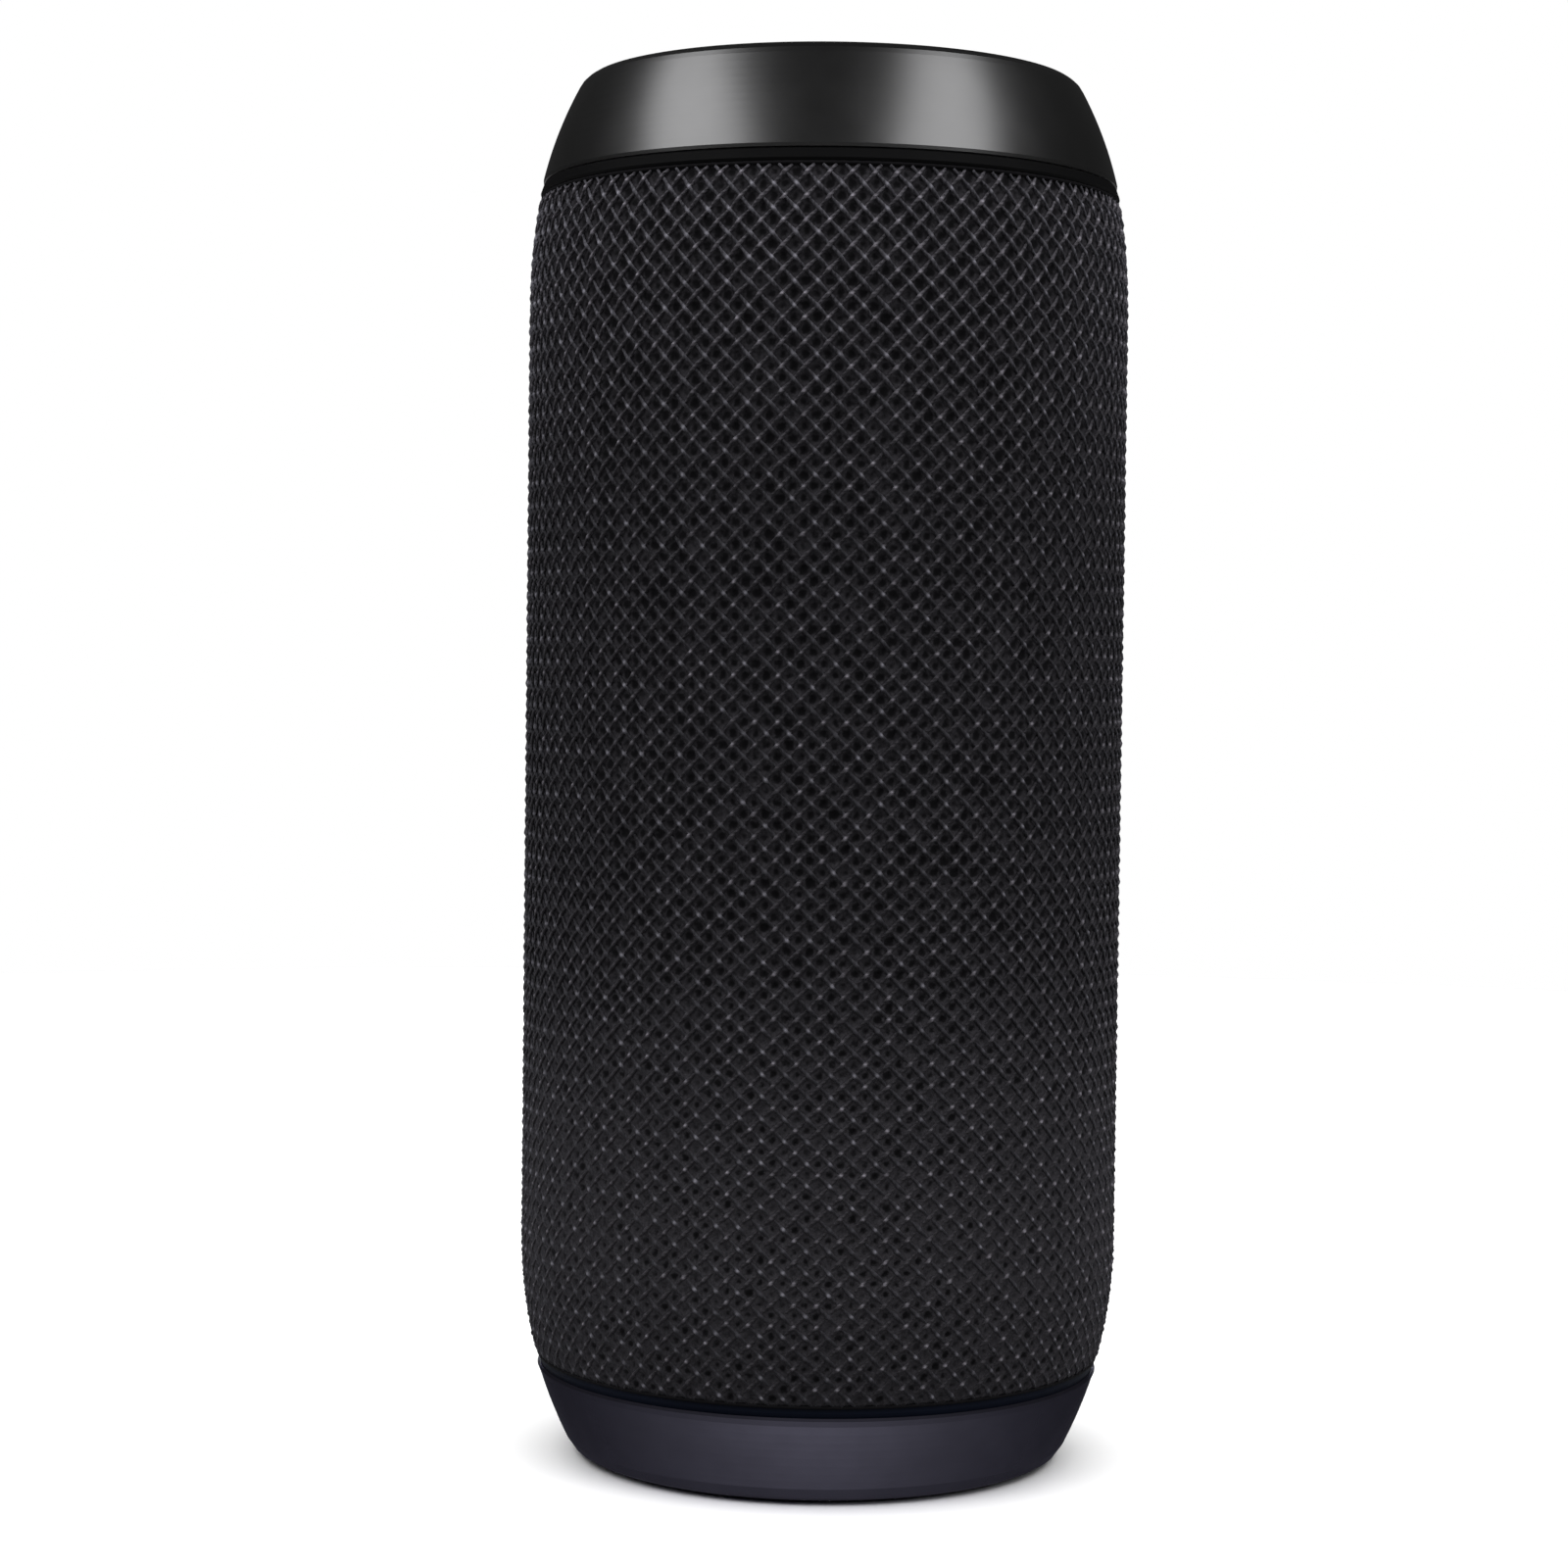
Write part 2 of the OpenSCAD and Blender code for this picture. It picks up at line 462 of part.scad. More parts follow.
module usb_socket() color([0.7, 0.7, 0.72]) {
    difference() {
        port_block(8.94, 3.26, 1.2, 23.7, 31, usb_z, usb_x);
        port_block(8.3, 2.62, 1, 24.6, 32, usb_z, usb_x);
    }
    translate([usb_x - 3.3, 24.6, usb_z - 0.35]) cube([6.6, 5, 0.7]);
}

module audio_socket() color([0.08, 0.08, 0.08]) difference() {
    union() {
        translate([jack_x - 3.1, 16.5, board_z + board_t]) cube([6.2, 10.4, 6]);
        translate([jack_x, 26, jack_z]) rotate([-90, 0, 0]) cylinder(r = 2.8, h = 5.3);
    }
    translate([jack_x, 18, jack_z]) rotate([-90, 0, 0]) cylinder(r = jack_r, h = 20);
}

// ---------- port ----------
module ring_slab(r0, r1) translate([0, 0, 15]) difference() {
    cylinder(r = r1, h = 40);
    translate([0, 0, -1]) cylinder(r = r0, h = 42);
}

module port_bezel() color([0.07, 0.07, 0.07]) difference() {
    intersection() {
        port_block(bezel_w, bezel_h, 4, 25, 40, bezel_z);
        ring_slab(31.75, body_r);
    }
    intersection() {
        port_block(bezel_w - 4, 9.6, 3.2, 25, 45, bezel_z);
        ring_slab(33, 50);
    }
    translate([jack_x, 25, jack_z]) rotate([-90, 0, 0]) cylinder(r = 3, h = 20);
    port_block(9.4, 3.8, 1.2, 25, 45, usb_z, usb_x);
    translate([-4.2, body_r - 1, 26.2]) cube([8.4, 0.8, 3]);
}

module port_cover_strap() color([0.05, 0.05, 0.05]) translate([-4, body_r - 0.85, 26.3]) cube([8, 0.55, 1.25]);

module port_cover() color([0.055, 0.055, 0.06]) {
    intersection() {
        port_block(bezel_w - 5, 8.75, 3, 25, 45, 31.925);
        ring_slab(35.9, body_r);
    }
    difference() {
        intersection() {
            port_block(bezel_w - 7, 6.4, 2.4, 25, 45, 31.4);
            ring_slab(33.5, 36);
        }
        port_block(bezel_w - 9.6, 3.8, 1.4, 20, 35.4, 31.4);
    }
}

// ---------- wiring ----------
function unit(v) = v / norm(v);
function along(p, i) = unit(i == 0 ? p[1] - p[0] : i == len(p) - 1 ? p[i] - p[i - 1] : p[i + 1] - p[i - 1]);
function knot(a, b, c, d, t) = 0.5 * (2 * b + (c - a) * t + (2 * a - 5 * b + 4 * c - d) * t * t + (3 * b - a - 3 * c + d) * t * t * t);
function smooth(p, k) = let (n = len(p) - 1) concat(
    [for (i = [0:n - 1], s = [0:k - 1]) knot(p[max(0, i - 1)], p[i], p[i + 1], p[min(n, i + 2)], s / k)], [p[n]]);

// A tube of radius r along the points p; side is a direction that no stretch of it runs along
module tube(p, r, side = [0, 1, 0]) {
    n = len(p);
    m = 8;
    pts = [for (i = [0:n - 1]) let (t = along(p, i), u = unit(cross(t, side)), v = cross(t, u))
        for (k = [0:m - 1]) p[i] + r * (cos(k * 45) * u + sin(k * 45) * v)];
    polyhedron(pts, concat([[for (k = [0:m - 1]) k]], [[for (k = [m - 1:-1:0]) (n - 1) * m + k]],
        [for (i = [0:n - 2], k = [0:m - 1]) [i * m + k, (i + 1) * m + k, (i + 1) * m + (k + 1) % m, i * m + (k + 1) % m]]));
}

control_route = [[19.8, 9.5, top_z - 13.05], [19.8, 9.5, top_z - 16], [19.8, 9.5, chassis_z1 + 2], [19.8, 9.5, chassis_z1 - 6], [19.8, 9.5, 110],
    [19.8, 9.2, 60], [19.2, 5, 44], [18.8, 3.5, 37], [18.8, 3.5, 34], [18.8, 3.5, 31.66]];
front_lead_route = [[16.25, -14.2, driver_z], [18.6, -13.8, driver_z - 1], [20.2, -11, driver_z - 6], [19.8, -6, driver_z - 17], [19.4, -4, 80],
    [18.6, -3.5, 45], [18.5, -3.5, 37], [18.5, -3.5, 31.62]];
rear_lead_route = [[-16.25, 14.2, driver_z], [-18.6, 13.8, driver_z - 1], [-20.2, 11, driver_z - 6], [-19.8, 6, driver_z - 17], [-19.4, 4, 80],
    [-17.4, 3.6, 45], [-16.5, 3.5, 37], [-16.5, 3.5, 31.62]];
cell_lead_route = [[0, 3, 98.3], [0, 3, 99.6], [-5, 2.4, 101.2], [-10.5, 1.2, 99], [-13.2, 0.4, 92], [-13.4, 0, 60], [-13, 1.5, 42],
    [-11.5, 4, 36.5], [-11.5, 4, 34], [-11.5, 4, 31.64]];

module control_cable() color([0.12, 0.12, 0.12]) tube(smooth(control_route, 4), 1.2);
module driver_leads() color([0.7, 0.1, 0.08]) {
    tube(smooth(front_lead_route, 4), 0.8);
    tube(smooth(rear_lead_route, 4), 0.8);
}
module battery_lead() color([0.75, 0.1, 0.08]) tube(smooth(cell_lead_route, 4), 0.8);

foot_pad();
base_ring();
base_seam_band();
woven_sleeve();
grille_tube();
chassis_front();
chassis_rear();
chassis_gasket();
long_case_screws();
short_screws();
top_ring();
top_seam_band();
control_panel();
control_board();
tact_switches();
indicator_lens();
microphone_capsule();
front_driver_basket();
front_driver_top_plate();
front_driver_magnet();
front_driver_yoke();
front_driver_spider();
front_driver_surround();
rear_driver_basket();
rear_driver_top_plate();
rear_driver_magnet();
rear_driver_yoke();
rear_driver_spider();
rear_driver_surround();
driver_screws();
radiator_frame();
radiator_surround();
battery_cell();
battery_cradle();
main_board();
board_components();
usb_socket();
audio_socket();
port_bezel();
port_cover_strap();
control_cable();
driver_leads();
battery_lead();
front_cone();
front_voice_coil();
front_dust_cap();
rear_cone();
rear_voice_coil();
rear_dust_cap();
radiator_piston();
radiator_weight();
port_cover();
play_button();
volume_up_button();
volume_down_button();
power_button();
mode_button();
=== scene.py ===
import json
import math

import bmesh
import bpy
import numpy as np
from mathutils import Matrix, Vector


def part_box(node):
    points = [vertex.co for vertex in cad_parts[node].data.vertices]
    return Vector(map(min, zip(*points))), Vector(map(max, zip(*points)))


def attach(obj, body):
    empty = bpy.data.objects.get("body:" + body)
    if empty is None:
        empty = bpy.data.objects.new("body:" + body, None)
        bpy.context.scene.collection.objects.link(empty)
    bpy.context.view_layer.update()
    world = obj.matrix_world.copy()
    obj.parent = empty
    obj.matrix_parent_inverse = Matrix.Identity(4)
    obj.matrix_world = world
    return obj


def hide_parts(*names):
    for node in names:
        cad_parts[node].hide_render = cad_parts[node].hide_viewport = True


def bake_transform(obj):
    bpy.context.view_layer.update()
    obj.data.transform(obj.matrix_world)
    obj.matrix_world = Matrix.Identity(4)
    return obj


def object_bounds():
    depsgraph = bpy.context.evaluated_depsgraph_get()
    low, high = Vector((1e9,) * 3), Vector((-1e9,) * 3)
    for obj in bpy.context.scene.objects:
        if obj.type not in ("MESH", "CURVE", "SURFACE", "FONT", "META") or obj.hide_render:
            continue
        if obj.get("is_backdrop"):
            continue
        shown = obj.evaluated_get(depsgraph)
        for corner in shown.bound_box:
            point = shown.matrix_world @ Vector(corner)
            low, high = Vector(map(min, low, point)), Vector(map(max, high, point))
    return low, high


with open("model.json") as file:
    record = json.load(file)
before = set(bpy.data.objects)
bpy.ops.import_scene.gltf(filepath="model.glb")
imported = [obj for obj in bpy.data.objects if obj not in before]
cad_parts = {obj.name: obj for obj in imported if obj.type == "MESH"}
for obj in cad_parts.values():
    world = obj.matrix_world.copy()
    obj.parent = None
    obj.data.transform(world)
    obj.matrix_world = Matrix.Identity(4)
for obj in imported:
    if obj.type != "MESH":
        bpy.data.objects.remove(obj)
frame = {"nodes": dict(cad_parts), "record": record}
NODES = frame["nodes"]
cad_lo, cad_hi = (list(v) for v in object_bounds())
MM = 0.001

# ---------------------------------------------------------------- sizes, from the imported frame
sleeve_lo, sleeve_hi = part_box("woven_sleeve")
bezel_lo, bezel_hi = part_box("port_bezel")
cover_lo, cover_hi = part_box("port_cover")
strap_lo, strap_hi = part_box("port_cover_strap")
R = (sleeve_hi.x - sleeve_lo.x) / 2 / MM
H = cad_hi[2] / MM
Z0, Z1 = sleeve_lo.z / MM, sleeve_hi.z / MM
PORT_Z = (bezel_lo.z + bezel_hi.z) / 2 / MM
PORT_W, PORT_H, PORT_R = (bezel_hi.x - bezel_lo.x) / MM, (bezel_hi.z - bezel_lo.z) / MM, 4.0

# ---------------------------------------------------------------- camera, at the photograph's angle
scene = bpy.context.scene
scene.view_settings.view_transform = "Standard"
cam_data = bpy.data.cameras.new("camera")
cam_data.sensor_width = 36.0
cam_data.lens = 76.36
cam_data.clip_start = 0.01
cam = bpy.data.objects.new("camera", cam_data)
scene.collection.objects.link(cam)
cam.matrix_world = (
    Matrix.Translation((0.0, -0.4133, 0.0970))
    @ Matrix.Rotation(math.radians(0.67), 4, "Z")
    @ Matrix.Rotation(math.radians(90 - 1.96), 4, "X")
    @ Matrix.Rotation(math.radians(0.68), 4, "Z")
)
scene.camera = cam


# ---------------------------------------------------------------- the barrel's outline, in mm
def prof(z):
    z = np.asarray(z, float)
    up = np.clip((z - (H - 31)) / 31, 0, None)
    dn = np.clip((28 - z) / 28, 0, None)
    return R - 6.6 * up**2.7 - 7.0 * dn**2.2


# ---------------------------------------------------------------- mesh helpers
def make_mesh(name, verts, faces, smooth=True, sharp_deg=None):
    """verts: n x 3 in mm; faces: list of index arrays that each hold polygons of one size."""
    me = bpy.data.meshes.new(name)
    verts = np.asarray(verts, np.float32) * MM
    groups = [np.asarray(f, np.int32) for f in faces if len(f)]
    loops = np.concatenate([g.ravel() for g in groups])
    totals = np.concatenate([np.full(len(g), g.shape[1], np.int32) for g in groups])
    starts = np.concatenate([[0], np.cumsum(totals)[:-1]]).astype(np.int32)
    me.vertices.add(len(verts))
    me.vertices.foreach_set("co", verts.ravel())
    me.loops.add(len(loops))
    me.loops.foreach_set("vertex_index", loops)
    me.polygons.add(len(totals))
    me.polygons.foreach_set("loop_start", starts)
    me.polygons.foreach_set("loop_total", totals)
    me.update(calc_edges=True)
    me.validate()
    if smooth:
        me.polygons.foreach_set("use_smooth", np.ones(len(me.polygons), bool))
        if sharp_deg:
            me.set_sharp_from_angle(angle=math.radians(sharp_deg))
    ob = bpy.data.objects.new(name, me)
    scene.collection.objects.link(ob)
    return ob


def from_bmesh(name, bm, smooth=True, sharp_deg=35):
    bmesh.ops.recalc_face_normals(bm, faces=bm.faces)
    me = bpy.data.meshes.new(name)
    bm.to_mesh(me)
    bm.free()
    if smooth:
        me.polygons.foreach_set("use_smooth", np.ones(len(me.polygons), bool))
        me.set_sharp_from_angle(angle=math.radians(sharp_deg))
    ob = bpy.data.objects.new(name, me)
    scene.collection.objects.link(ob)
    return ob


def lathe(name, outline, segments=256, sharp_deg=30):
    """A closed outline of (r, z) in mm, turned about Z. Points with r = 0 share one vertex."""
    n = len(outline)
    a = np.arange(segments) * 2 * np.pi / segments
    verts, first = [], []
    for r, z in outline:
        first.append(len(verts))
        if r < 1e-6:
            verts.append((0, 0, z))
        else:
            verts.extend(zip(r * np.cos(a), r * np.sin(a), np.full(segments, z)))
    quads, tris = [], []
    for i in range(n):
        j = (i + 1) % n
        pole_i, pole_j = outline[i][0] < 1e-6, outline[j][0] < 1e-6
        if pole_i and pole_j:
            continue
        for k in range(segments):
            m = (k + 1) % segments
            if pole_i:
                tris.append((first[i], first[j] + k, first[j] + m))
            elif pole_j:
                tris.append((first[i] + m, first[i] + k, first[j]))
            else:
                quads.append((first[i] + k, first[j] + k, first[j] + m, first[i] + m))
    ob = make_mesh(name, np.array(verts), [quads, tris], sharp_deg=sharp_deg)
    bm = bmesh.new()
    bm.from_mesh(ob.data)
    bmesh.ops.recalc_face_normals(bm, faces=bm.faces)
    bm.to_mesh(ob.data)
    bm.free()
    return ob


# ---------------------------------------------------------------- node helpers
class Tree:
    def __init__(self, name):
        self.m = bpy.data.materials.new(name)
        self.m.use_nodes = True
        self.t = self.m.node_tree
        self.bsdf = self.t.nodes["Principled BSDF"]
        self.coord = self.t.nodes.new("ShaderNodeTexCoord").outputs["Object"]

    def set(self, **kw):
        names = {"rough": "Roughness", "metal": "Metallic", "ior": "IOR", "coat": "Coat Weight", "coat_rough": "Coat Roughness",
                 "sheen": "Sheen Weight", "sheen_rough": "Sheen Roughness", "spec": "Specular IOR Level", "aniso": "Anisotropic"}
        for k, v in kw.items():
            self.bsdf.inputs[names[k]].default_value = v
        return self

    def link(self, a, b):
        self.t.links.new(a, b)

    def math(self, op, *args):
        n = self.t.nodes.new("ShaderNodeMath")
        n.operation = op
        for i, a in enumerate(args):
            if isinstance(a, (int, float)):
                n.inputs[i].default_value = a
            else:
                self.link(a, n.inputs[i])
        return n.outputs[0]

    def noise(self, scale, detail=3.0, rough=0.5, vector=None, stretch=None):
        v = vector or self.coord
        if stretch:
            mp = self.t.nodes.new("ShaderNodeMapping")
            mp.inputs["Scale"].default_value = stretch
            self.link(v, mp.inputs["Vector"])
            v = mp.outputs[0]
        n = self.t.nodes.new("ShaderNodeTexNoise")
        n.inputs["Scale"].default_value = scale
        n.inputs["Detail"].default_value = detail
        n.inputs["Roughness"].default_value = rough
        self.link(v, n.inputs["Vector"])
        return n.outputs["Fac"]

    def ramp(self, fac, stops, interpolation="LINEAR"):
        n = self.t.nodes.new("ShaderNodeValToRGB")
        e = n.color_ramp.elements
        n.color_ramp.interpolation = interpolation
        while len(e) > 1:
            e.remove(e[-1])
        for i, (p, c) in enumerate(stops):
            el = e[0] if i == 0 else e.new(p)
            el.position = p
            el.color = (c, c, c, 1) if isinstance(c, (int, float)) else (*c, 1)
        self.link(fac, n.inputs["Fac"])
        return n.outputs["Color"]

    def spread(self, fac, lo, hi):
        n = self.t.nodes.new("ShaderNodeMapRange")
        n.inputs["To Min"].default_value = lo
        n.inputs["To Max"].default_value = hi
        n.inputs["From Min"].default_value = 0.25
        n.inputs["From Max"].default_value = 0.75
        self.link(fac, n.inputs["Value"])
        return n.outputs["Result"]

    def mix(self, fac, a, b):
        n = self.t.nodes.new("ShaderNodeMix")
        n.data_type = "RGBA"
        for socket, v in ((n.inputs[0], fac), (n.inputs[6], a), (n.inputs[7], b)):
            if isinstance(v, tuple):
                socket.default_value = (*v, 1) if len(v) == 3 else v
            elif isinstance(v, (int, float)):
                socket.default_value = v
            else:
                self.link(v, socket)
        return n.outputs[2]

    def color(self, v):
        if isinstance(v, tuple):
            self.bsdf.inputs["Base Color"].default_value = (*v, 1)
        else:
            self.link(v, self.bsdf.inputs["Base Color"])
        return self

    def rough(self, v):
        self.link(v, self.bsdf.inputs["Roughness"])
        return self

    def bump(self, height, distance, strength=1.0):
        n = self.t.nodes.new("ShaderNodeBump")
        n.inputs["Strength"].default_value = strength
        n.inputs["Distance"].default_value = distance
        self.link(height, n.inputs["Height"])
        old = self.bsdf.inputs["Normal"].links
        if old:
            self.link(old[0].from_socket, n.inputs["Normal"])
        self.link(n.outputs[0], self.bsdf.inputs["Normal"])
        return self


def moulded(name, base, rough, grain=0.00001, grain_scale=4500, vary=0.18, rough_vary=0.05, **kw):
    """Moulded plastic or rubber: slight cloudiness, uneven gloss, and a fine grain."""
    t = Tree(name)
    cloud = t.noise(60, 4)
    lo = tuple(c * (1 - vary) for c in base)
    hi = tuple(c * (1 + vary) for c in base)
    t.color(t.mix(t.spread(cloud, 0, 1), lo, hi))
    t.rough(t.spread(t.noise(150, 5, 0.6), rough - rough_vary, rough + rough_vary))
    if grain:
        t.bump(t.noise(grain_scale, 2), grain)
    return t.set(**kw).m


def metal(name, base, rough, stretch=(1, 1, 12), scale=900, **kw):
    t = Tree(name)
    t.color(t.mix(t.spread(t.noise(400, 3), 0, 1), tuple(c * 0.82 for c in base), base))
    t.rough(t.spread(t.noise(scale, 3, 0.6, stretch=stretch), rough - 0.08, rough + 0.1))
    t.bump(t.noise(scale * 2, 2, stretch=stretch), 0.000004)
    return t.set(metal=1.0, **kw).m


# ---------------------------------------------------------------- materials
def ring_gloss():
    t = Tree("ring_gloss")
    t.color(t.mix(t.spread(t.noise(45, 3), 0, 1), (0.168, 0.168, 0.170), (0.182, 0.182, 0.184)))
    t.rough(t.spread(t.noise(260, 4, 0.5), 0.30, 0.325))
    t.bump(t.noise(2600, 2, 0.5), 0.0000006)
    return t.set(metal=1.0).m


def base_satin():
    """Satin metallic paint in a dark violet grey, with fine flake. Its colour is painted lighter towards the ring's
    bottom edge: painted light that makes up for the shade on the lower, downward-facing part.
    """
    t = Tree("base_satin")
    cloud = t.mix(t.spread(t.noise(50, 3), 0, 1), (0.040, 0.0385, 0.053), (0.045, 0.0435, 0.060))
    sep = t.t.nodes.new("ShaderNodeSeparateXYZ")
    t.link(t.coord, sep.inputs[0])
    # painted light: a colour gain by height, 0.72 at the ring's top rising to 1.0 at its bottom, lightens the lower,
    # downward-facing part to make up for the shade that falls there
    coat = t.ramp(t.math("DIVIDE", sep.outputs[2], 0.0112), [(0.0, 1.0), (0.12, 1.0), (0.5, 0.84), (0.95, 0.72)])
    paint = t.t.nodes.new("ShaderNodeVectorMath")
    paint.operation = "MULTIPLY"
    t.link(cloud, paint.inputs[0])
    t.link(t.math("MULTIPLY", coat, 1.15), paint.inputs[1])
    t.color(paint.outputs[0])
    t.bsdf.inputs["Specular Tint"].default_value = (0.08, 0.08, 0.09, 1)
    t.rough(t.spread(t.noise(300, 5, 0.65), 0.46, 0.49))
    t.bump(t.noise(5200, 2, 0.5), 0.000004)
    return t.set(metal=1.0).m


N_DIAMONDS = 88
NAP = 0.038
PITCH_A, PITCH_B = 2.42, 0.00237  # mm, and mm per mm of height: the weave is a little taller towards the top


def weave_row(z):
    return 2 / PITCH_B * np.log((PITCH_A + PITCH_B * z) / (PITCH_A + PITCH_B * Z0))


def weave_z(r):
    return ((PITCH_A + PITCH_B * Z0) * np.exp(PITCH_B * r / 2) - PITCH_A) / PITCH_B


def weave_coords(t):
    """Column and row of the weave at a shading point, from its place on the barrel."""
    sep = t.t.nodes.new("ShaderNodeSeparateXYZ")
    t.link(t.coord, sep.inputs[0])
    x, y, z = sep.outputs
    col = t.math("MULTIPLY", t.math("ARCTAN2", y, x), N_DIAMONDS / math.pi)
    zz = t.math("DIVIDE", t.math("ADD", t.math("MULTIPLY", z, PITCH_B * 1000), PITCH_A), PITCH_A + PITCH_B * Z0)
    row = t.math("MULTIPLY", t.math("LOGARITHM", zz, math.e), 2 / PITCH_B)
    return col, row


def zones(t, low, middle, high):
    """A colour by height on the sleeve: low at its bottom edge, middle, and high at its top edge."""
    sep = t.t.nodes.new("ShaderNodeSeparateXYZ")
    t.link(t.coord, sep.inputs[0])
    share = t.math("DIVIDE", sep.outputs[2], Z1 * MM)
    return t.ramp(share, [(0.08, low), (0.22, low), (0.50, middle), (0.72, middle), (0.97, high)], "EASE")


def scaled(c, k):
    return tuple(v * k for v in c)


def nap(t, weight):
    """Short fibres catch light where the cloth turns away: the shader's sheen, a little bluer than the yarn."""
    t.bsdf.inputs["Sheen Tint"].default_value = (0.86, 0.84, 1.0, 1)
    return t.set(sheen=weight, sheen_rough=0.45)


def sleeve_backing_material():
    t = Tree("woven_fabric_backing")
    col, row = weave_coords(t)
    cc = t.math("COSINE", t.math("MULTIPLY", col, math.pi))
    cr = t.math("COSINE", t.math("MULTIPLY", row, math.pi))
    pit = t.math("MULTIPLY_ADD", t.math("MULTIPLY", cc, cr), -0.5, 0.5)
    pit = t.math("ADD", pit, t.math("MULTIPLY", t.math("SUBTRACT", t.noise(1500, 3, 0.6), 0.5), 0.9))
    pit = t.math("ADD", pit, t.math("MULTIPLY", t.math("SUBTRACT", t.noise(410, 2, 0.5), 0.5), 1.0))
    tint = (1.0, 0.955, 1.08)
    rim = zones(t, scaled(tint, 0.054), scaled(tint, 0.063), scaled(tint, 0.054))
    rim = t.mix(t.spread(t.noise(2300, 4, 0.75), 0, 0.80), rim, (0, 0, 0))
    # painted shade: the pit centres are painted near black, about a tenth of the rim, standing in for the shade in the
    # recesses of the mesh; the pits are also recessed in the geometry and smaller low down
    painted_pit_shade = zones(t, scaled(tint, 0.0050), scaled(tint, 0.0078), scaled(tint, 0.0075))
    low_share = zones(t, (1, 1, 1), (0, 0, 0), (0, 0, 0))
    pit = t.math("SUBTRACT", pit, t.math("MULTIPLY", low_share, 0.15))
    t.color(t.mix(t.ramp(pit, [(0.0, 0.0), (0.62, 0.08), (0.86, 0.9), (1.0, 1.0)]), rim, painted_pit_shade))
    t.bump(t.noise(5200, 3, 0.7), 0.00008)
    return nap(t, NAP).set(rough=0.9, spec=0.05).m


def thread_material(name, tint):
    """Twisted yarn: plies from the thread's own coordinates, with painted shade in the grooves between them; lint;
    painted highlight dots and a painted lighter tone at the crossings; and threads painted lighter at the sleeve's top
    as painted light.
    """
    t = Tree(name)
    at = t.t.nodes.new("ShaderNodeAttribute")
    at.attribute_name = "ply"
    sep = t.t.nodes.new("ShaderNodeSeparateXYZ")
    t.link(at.outputs["Vector"], sep.inputs[0])
    run, cs, sn = sep.outputs
    angle = t.math("ARCTAN2", sn, cs)
    twist = t.math("ABSOLUTE", t.math("SINE", t.math("ADD", t.math("MULTIPLY", run, math.pi / 0.62), angle)))
    fuzz = t.noise(2600, 4, 0.7)
    blotch = t.noise(520, 3, 0.6)
    # painted shade: the tone follows the plies' relief, as the bump does, so the grooves between the plies are painted
    # darker
    tone = t.math("MULTIPLY_ADD", twist, 0.30, 0.30)
    tone = t.math("ADD", tone, t.math("MULTIPLY", t.math("SUBTRACT", fuzz, 0.5), 1.9))
    tone = t.math("ADD", tone, t.math("MULTIPLY", t.math("SUBTRACT", blotch, 0.5), 1.1))
    col, row = weave_coords(t)
    # painted highlight: at a random share of the crossings, bright dots stand in for the glint of light on the raised
    # crossings, and the tone is painted lighter near every crossing and darker between them
    cross = t.math("MULTIPLY_ADD", t.math("MULTIPLY", t.math("COSINE", t.math("MULTIPLY", col, math.pi)), t.math("COSINE", t.math("MULTIPLY", row, math.pi))), 0.5, 0.5)
    painted_highlight_dots = t.math("POWER", cross, 13.0)
    some = t.ramp(t.noise(430, 1, 0.4), [(0.42, 0.12), (0.62, 1.0)])
    tone = t.math("ADD", tone, t.math("MULTIPLY_ADD", cross, 0.30, -0.15))
    # painted light: by height, the threads are painted much lighter at the sleeve's top and with less contrast at its
    # bottom, standing in for how light falls on each part of the barrel
    dark = zones(t, scaled(tint, 0.017), scaled(tint, 0.009), scaled(tint, 0.013))
    light = zones(t, scaled(tint, 0.031), scaled(tint, 0.033), scaled(tint, 0.080))
    base = t.mix(tone, dark, light)
    t.color(t.mix(t.math("MULTIPLY", painted_highlight_dots, some), base, zones(t, scaled(tint, 0.20), scaled(tint, 0.18), scaled(tint, 0.24))))
    t.rough(t.spread(fuzz, 0.42, 0.65))
    t.bump(twist, 0.00005)
    t.bump(t.noise(6000, 3, 0.7), 0.00003)
    return nap(t, NAP).set(spec=0.10).m


def board_green():
    t = Tree("board_green")
    tracks = t.noise(900, 1, 0.2, stretch=(1, 6, 1))
    t.color(t.ramp(tracks, [(0.0, (0.006, 0.05, 0.02)), (0.52, (0.008, 0.06, 0.024)), (0.56, (0.012, 0.1, 0.04)), (1.0, (0.012, 0.1, 0.04))], "CONSTANT"))
    t.rough(t.spread(t.noise(300), 0.3, 0.42))
    return t.m


def spider_cloth():
    t = Tree("spider_cloth")
    weave = t.noise(2500, 2, 0.5, stretch=(1, 1, 1))
    t.color(t.mix(weave, (0.3, 0.15, 0.035), (0.62, 0.36, 0.11)))
    t.bump(weave, 0.00003)
    return t.set(rough=0.8).m


